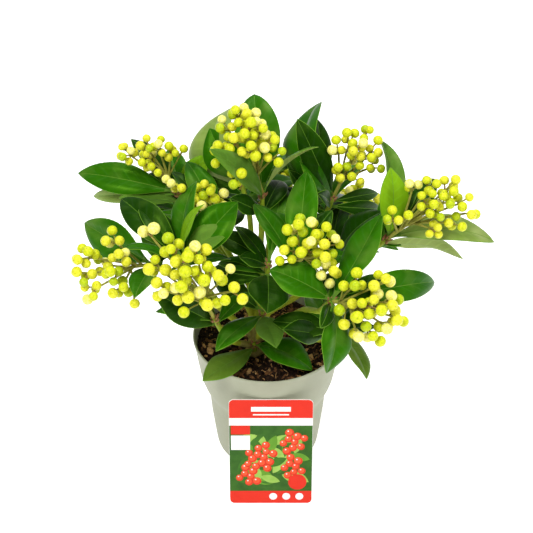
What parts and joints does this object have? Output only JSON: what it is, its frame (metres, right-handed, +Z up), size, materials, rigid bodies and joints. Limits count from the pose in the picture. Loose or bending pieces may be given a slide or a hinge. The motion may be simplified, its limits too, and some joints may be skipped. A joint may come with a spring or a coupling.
{
  "type": "potted skimmia in green fruit",
  "caption": "Small skimmia shrub with glossy leathery leaves and dense heads of pale green berries, in a flared round pot with a picture card leaning on its front.",
  "frame": {"origin": "centre of the pot's flat underside, on the ground", "axes": "+Z up along the pot's axis, -Y towards the front where the picture card leans, +X to the right seen from the front"},
  "size_m": [0.3411, 0.2395, 0.3257],
  "materials": {
    "pot": "matt grey-green stone colour",
    "compost": "damp dark crumbs with fibres",
    "card": "printed, slight sheen",
    "bark": "green to light brown young bark",
    "shoots": "glossy leathery leaves and pale green berries"
  },
  "bodies": {
    "root": {"pot": "pot", "compost": "compost", "picture_card": "card", "main_stem": "bark", "bough_back": "bark", "bough_back_left": "bark", "bough_back_right": "bark", "bough_crown": "bark", "bough_crown_back": "bark", "bough_far_left": "bark", "bough_far_right": "bark", "bough_front_left": "bark", "bough_front_middle": "bark", "bough_front_right": "bark", "bough_left": "bark", "bough_low_middle": "bark", "bough_low_right": "bark", "bough_middle": "bark", "bough_middle_left": "bark", "bough_right": "bark", "bough_upper_left": "bark", "bough_upper_middle": "bark", "bough_upper_right": "bark", "shoot_back": "shoots", "shoot_back_left": "shoots", "shoot_back_right": "shoots", "shoot_crown": "shoots", "shoot_crown_back": "shoots", "shoot_far_left": "shoots", "shoot_far_right": "shoots", "shoot_front_left": "shoots", "shoot_front_middle": "shoots", "shoot_front_right": "shoots", "shoot_left": "shoots", "shoot_low_front": "shoots", "shoot_low_middle": "shoots", "shoot_low_right": "shoots", "shoot_middle": "shoots", "shoot_middle_left": "shoots", "shoot_right": "shoots", "shoot_upper_left": "shoots", "shoot_upper_middle": "shoots", "shoot_upper_right": "shoots"}
  },
  "joints": []
}
